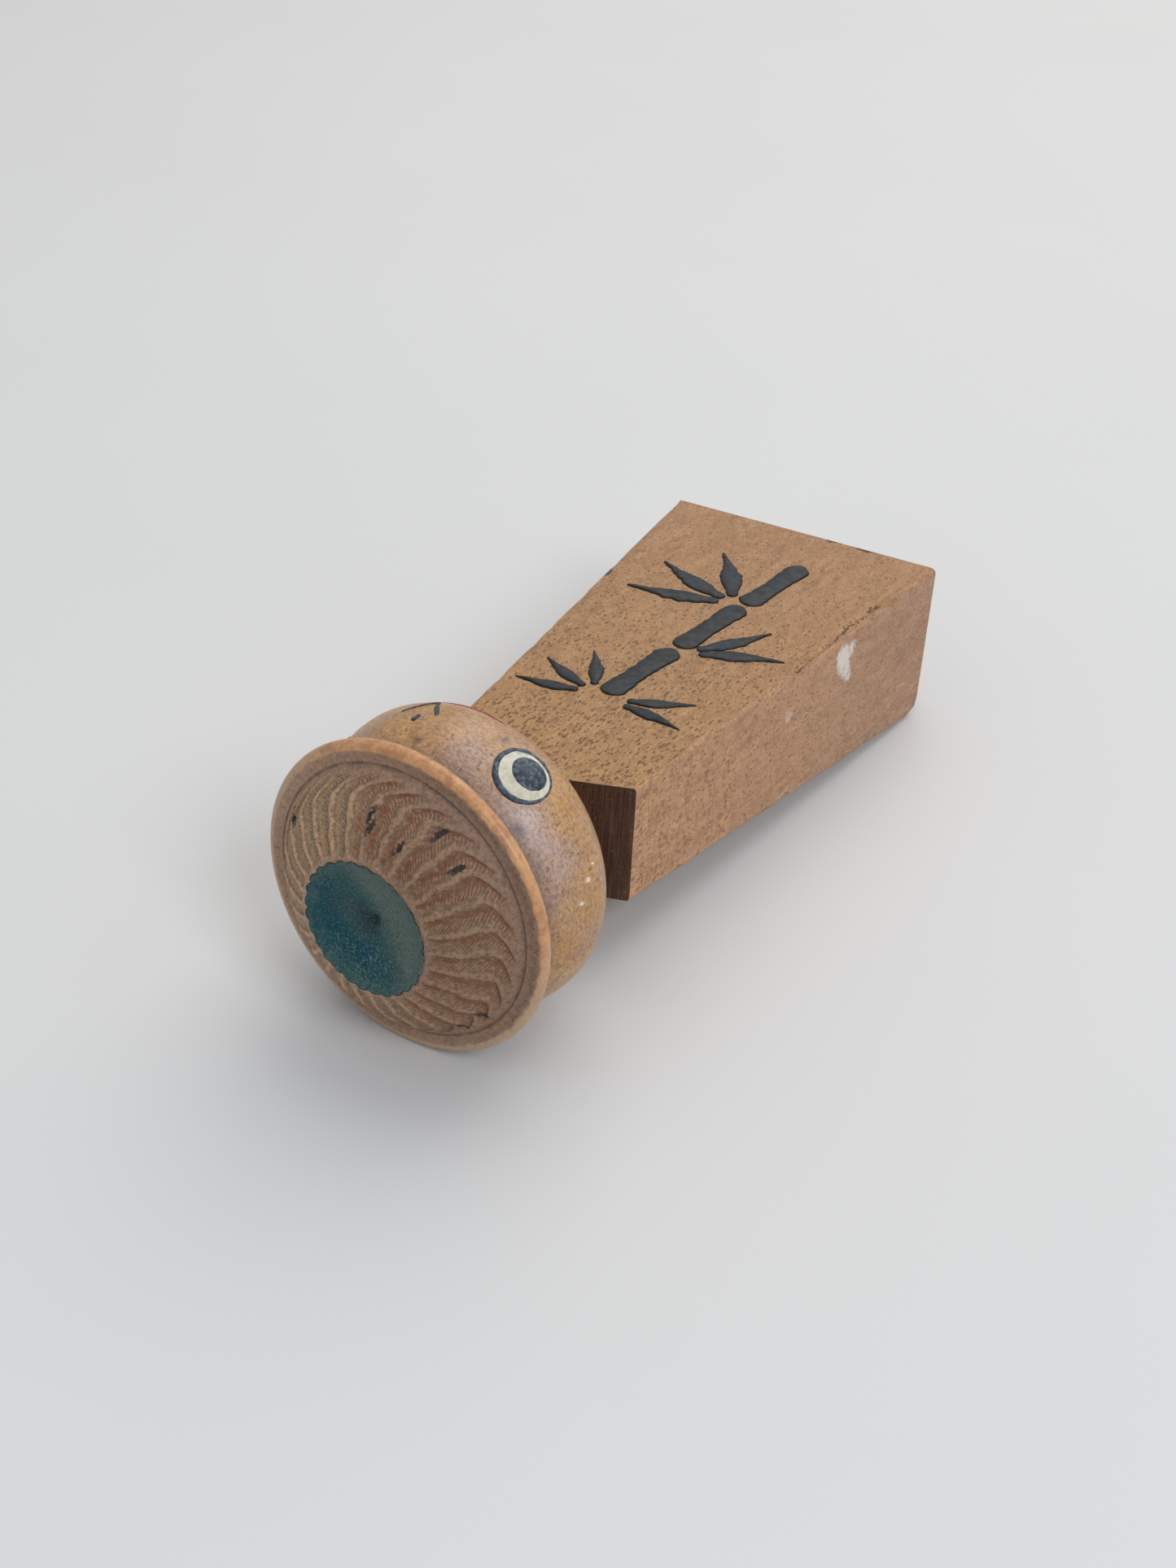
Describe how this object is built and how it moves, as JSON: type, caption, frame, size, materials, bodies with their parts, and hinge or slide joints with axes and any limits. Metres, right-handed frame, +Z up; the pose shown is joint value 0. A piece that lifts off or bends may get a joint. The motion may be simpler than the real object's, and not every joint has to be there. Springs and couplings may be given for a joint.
{
  "type": "wooden figure rubber stamp",
  "caption": "Hand stamp in the form of a wooden folk figure: a tapered five-sided block with a turned, dished-crown kokeshi head, a lacquer motif and a rubber die under the base.",
  "frame": {"origin": "on the floor plane under the middle of the figure's bounding box, with the figure lying on its back", "axes": "+Z up out of the painted front, -Y toward the head and crown, +Y toward the base and its rubber die, +X across the block"},
  "size_m": [0.0404, 0.1046, 0.0375],
  "materials": {
    "block_wood": "oiled beech-like wood, open grain, worn",
    "dowel_wood": "bare wood",
    "head_wood": "turned wood, thin worn varnish, stained and chatter-carved crown",
    "dish_paint": "thin matt teal paint",
    "eye_white": "cream white paint, satin",
    "eye_outline": "blue-black paint",
    "pupil": "blue-black paint, worn",
    "nose_paint": "black ink line",
    "mouth_paint": "dull red paint",
    "lacquer": "thick raised slate-black lacquer",
    "cushion_foam": "closed-cell foam",
    "die_rubber": "moulded stamp rubber"
  },
  "bodies": {
    "figure_body": {"koma_block": "block_wood", "neck_dowel": "dowel_wood", "brush_motif": "lacquer", "stamp_cushion": "cushion_foam", "rubber_die": "die_rubber"},
    "figure_head": {"head": "head_wood", "dish_paint": "dish_paint", "eye_whites": "eye_white", "eye_outlines": "eye_outline", "pupils": "pupil", "nose_mark": "nose_paint", "mouth_line_paint": "mouth_paint"}
  },
  "joints": [
    {"name": "head_turn", "type": "hinge", "parent": "figure_body", "child": "figure_head", "pos_m": [-0.00085, -0.02523, 0.01726], "axis": [-0.0349, -0.9968, 0.0718], "continuous": true}
  ]
}
